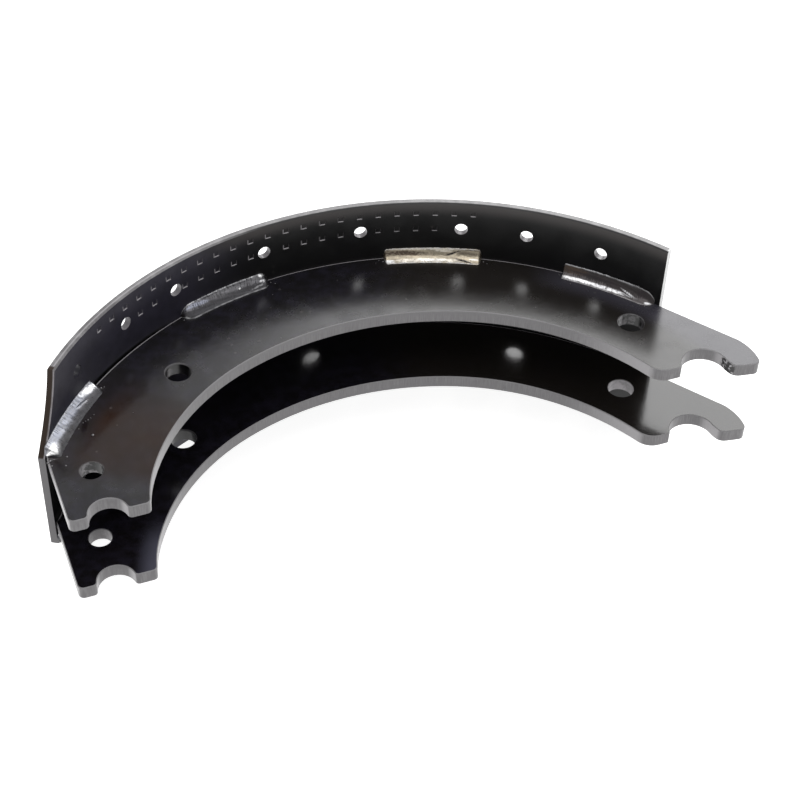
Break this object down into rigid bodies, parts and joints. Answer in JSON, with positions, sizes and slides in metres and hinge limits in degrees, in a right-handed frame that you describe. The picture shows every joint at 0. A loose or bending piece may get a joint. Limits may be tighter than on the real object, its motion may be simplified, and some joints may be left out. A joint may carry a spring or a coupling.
{
  "type": "brake shoe",
  "caption": "Bare drum brake shoe: a rolled table with rivet holes for a lining, welded to two parallel webs that end in an anchor pin seat and a cam roller seat.",
  "frame": {"origin": "centre of the anchor pin seat, half way between the two webs", "axes": "+Z along the drum axis, +X from the roller end towards the anchor end, +Y towards the crown of the shoe"},
  "size_m": [0.3513, 0.1477, 0.121],
  "materials": {
    "table_paint": "gloss black paint on rolled steel plate",
    "web_paint": "semi-gloss black paint on blanked steel plate",
    "weld_metal": "bright weld metal under a thin clear film of paint"
  },
  "bodies": {
    "root": {"shoe_table": "table_paint", "upper_web": "web_paint", "lower_web": "web_paint", "weld_upper_1": "weld_metal", "weld_upper_2": "weld_metal", "weld_upper_3": "weld_metal", "weld_upper_4": "weld_metal", "weld_lower_1": "weld_metal", "weld_lower_2": "weld_metal", "weld_lower_3": "weld_metal", "weld_lower_4": "weld_metal"}
  },
  "joints": []
}
